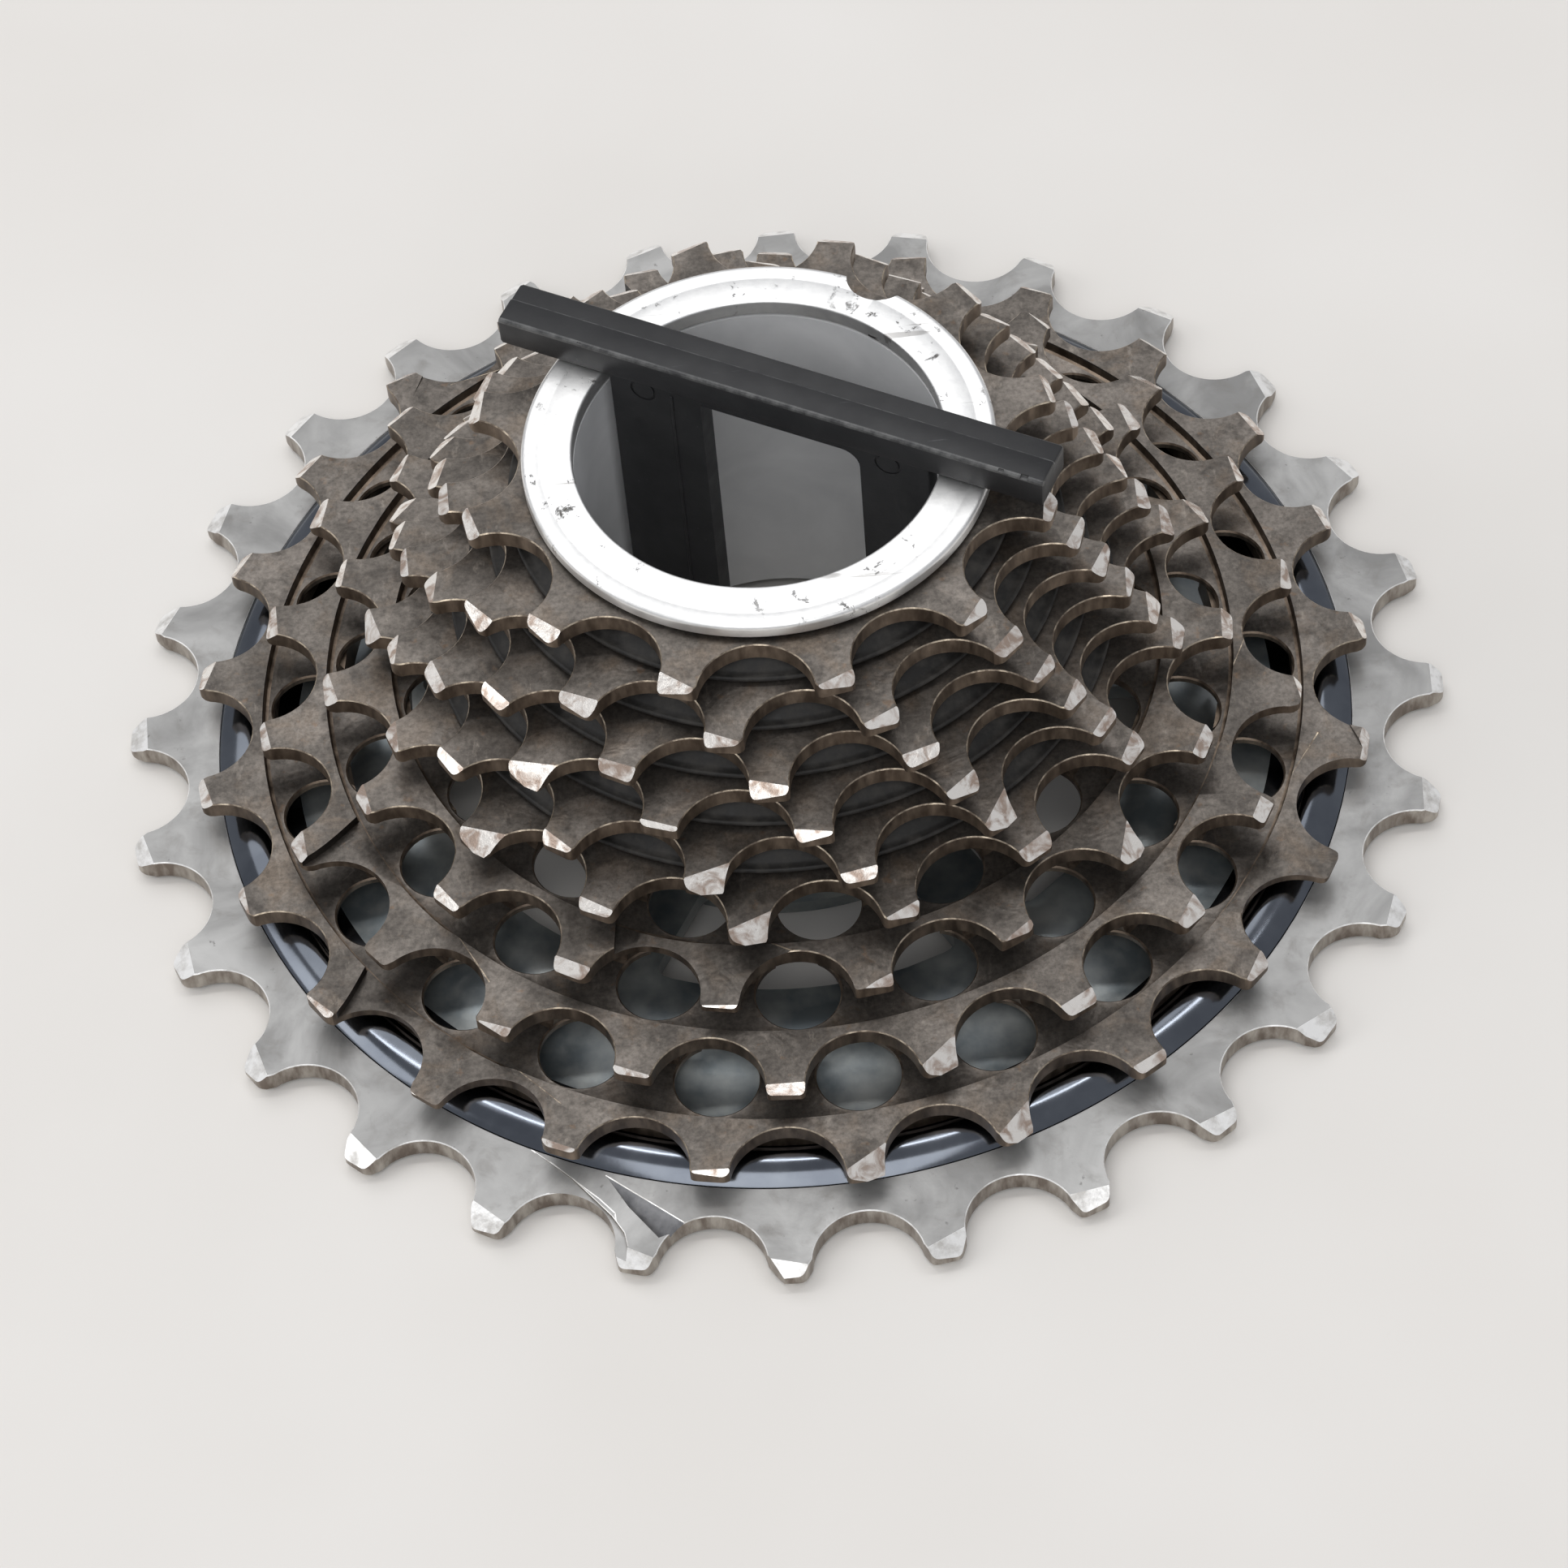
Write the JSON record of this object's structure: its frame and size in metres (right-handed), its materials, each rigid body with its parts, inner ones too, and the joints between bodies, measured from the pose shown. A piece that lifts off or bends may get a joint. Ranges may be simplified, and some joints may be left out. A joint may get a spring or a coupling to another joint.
{
  "type": "cassette sprocket",
  "caption": "Conical stack of bicycle rear sprockets on a carrier, with a flanged lock sleeve in the bore and a black T-shaped retainer across the small end.",
  "frame": {"origin": "on the axis, in the plane of the carrier's seat face, which the cassette rests on", "axes": "+Z along the axis towards the small end; the retainer's bar lies across X and Y"},
  "size_m": [0.1148, 0.1148, 0.0409],
  "materials": {
    "steel": "satin, oily, worn",
    "aluminium_sprocket": "satin, mottled",
    "anodised_carrier": "polished dark anodised",
    "bright_aluminium": "machined, scratched",
    "satin_aluminium": "satin",
    "rubber": "matte",
    "black_plastic": "moulded"
  },
  "bodies": {
    "cassette": {"sprocket_12t": "steel", "sprocket_13t": "steel", "sprocket_14t": "steel", "sprocket_15t": "steel", "sprocket_16t": "steel", "sprocket_17t": "steel", "sprocket_19t": "steel", "sprocket_22t": "steel", "sprocket_25t": "steel", "sprocket_28t": "aluminium_sprocket", "carrier": "anodised_carrier", "dome_foot_ring": "steel", "damper_12_13": "rubber", "damper_13_14": "rubber", "damper_14_15": "rubber", "damper_15_16": "rubber", "damper_16_17": "rubber"},
    "lock_sleeve": {"lock_sleeve": "satin_aluminium", "end_flange": "bright_aluminium"},
    "retainer": {"retainer": "black_plastic"}
  },
  "joints": [
    {"name": "lock_sleeve_turn", "type": "hinge", "parent": "cassette", "child": "lock_sleeve", "pos_m": [0, 0, 0], "axis": [0, 0, 1], "continuous": true},
    {"name": "retainer_lift", "type": "slide", "parent": "cassette", "child": "retainer", "axis": [0, 0, 1], "range_m": [0, 0.045]}
  ]
}
